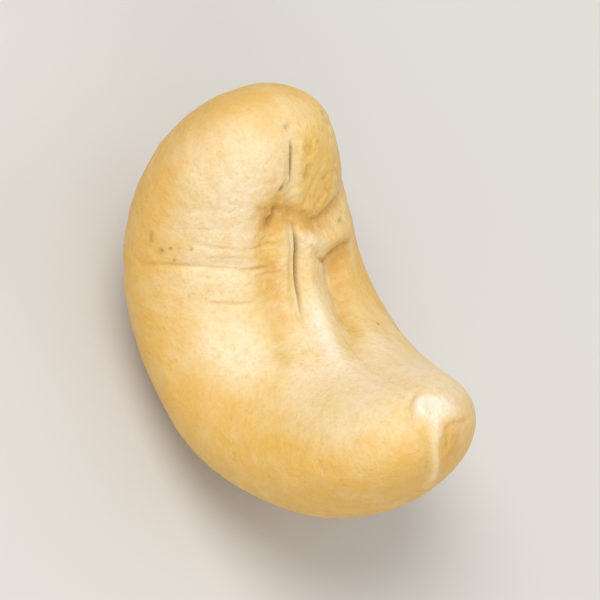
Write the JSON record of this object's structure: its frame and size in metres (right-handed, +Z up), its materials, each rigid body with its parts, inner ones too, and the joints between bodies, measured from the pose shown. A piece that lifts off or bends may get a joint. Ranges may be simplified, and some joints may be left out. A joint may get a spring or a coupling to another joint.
{
  "type": "cashew nut",
  "caption": "Whole skinned cashew kernel, a thick kidney shape with a seam between its seed halves, folds in the inner curve and a small root tip at one end.",
  "frame": {"origin": "on the surface that the kernel lies on, below the middle of its bounding box", "axes": "+X along the curve, from the round end to the end with the root tip; +Y across the two seed halves, square to the seam; +Z up, out of the open side of the bend"},
  "size_m": [0.0238, 0.0138, 0.0163],
  "materials": {
    "kernel": "satin"
  },
  "bodies": {
    "root": {"cashew_kernel": "kernel"}
  },
  "joints": []
}
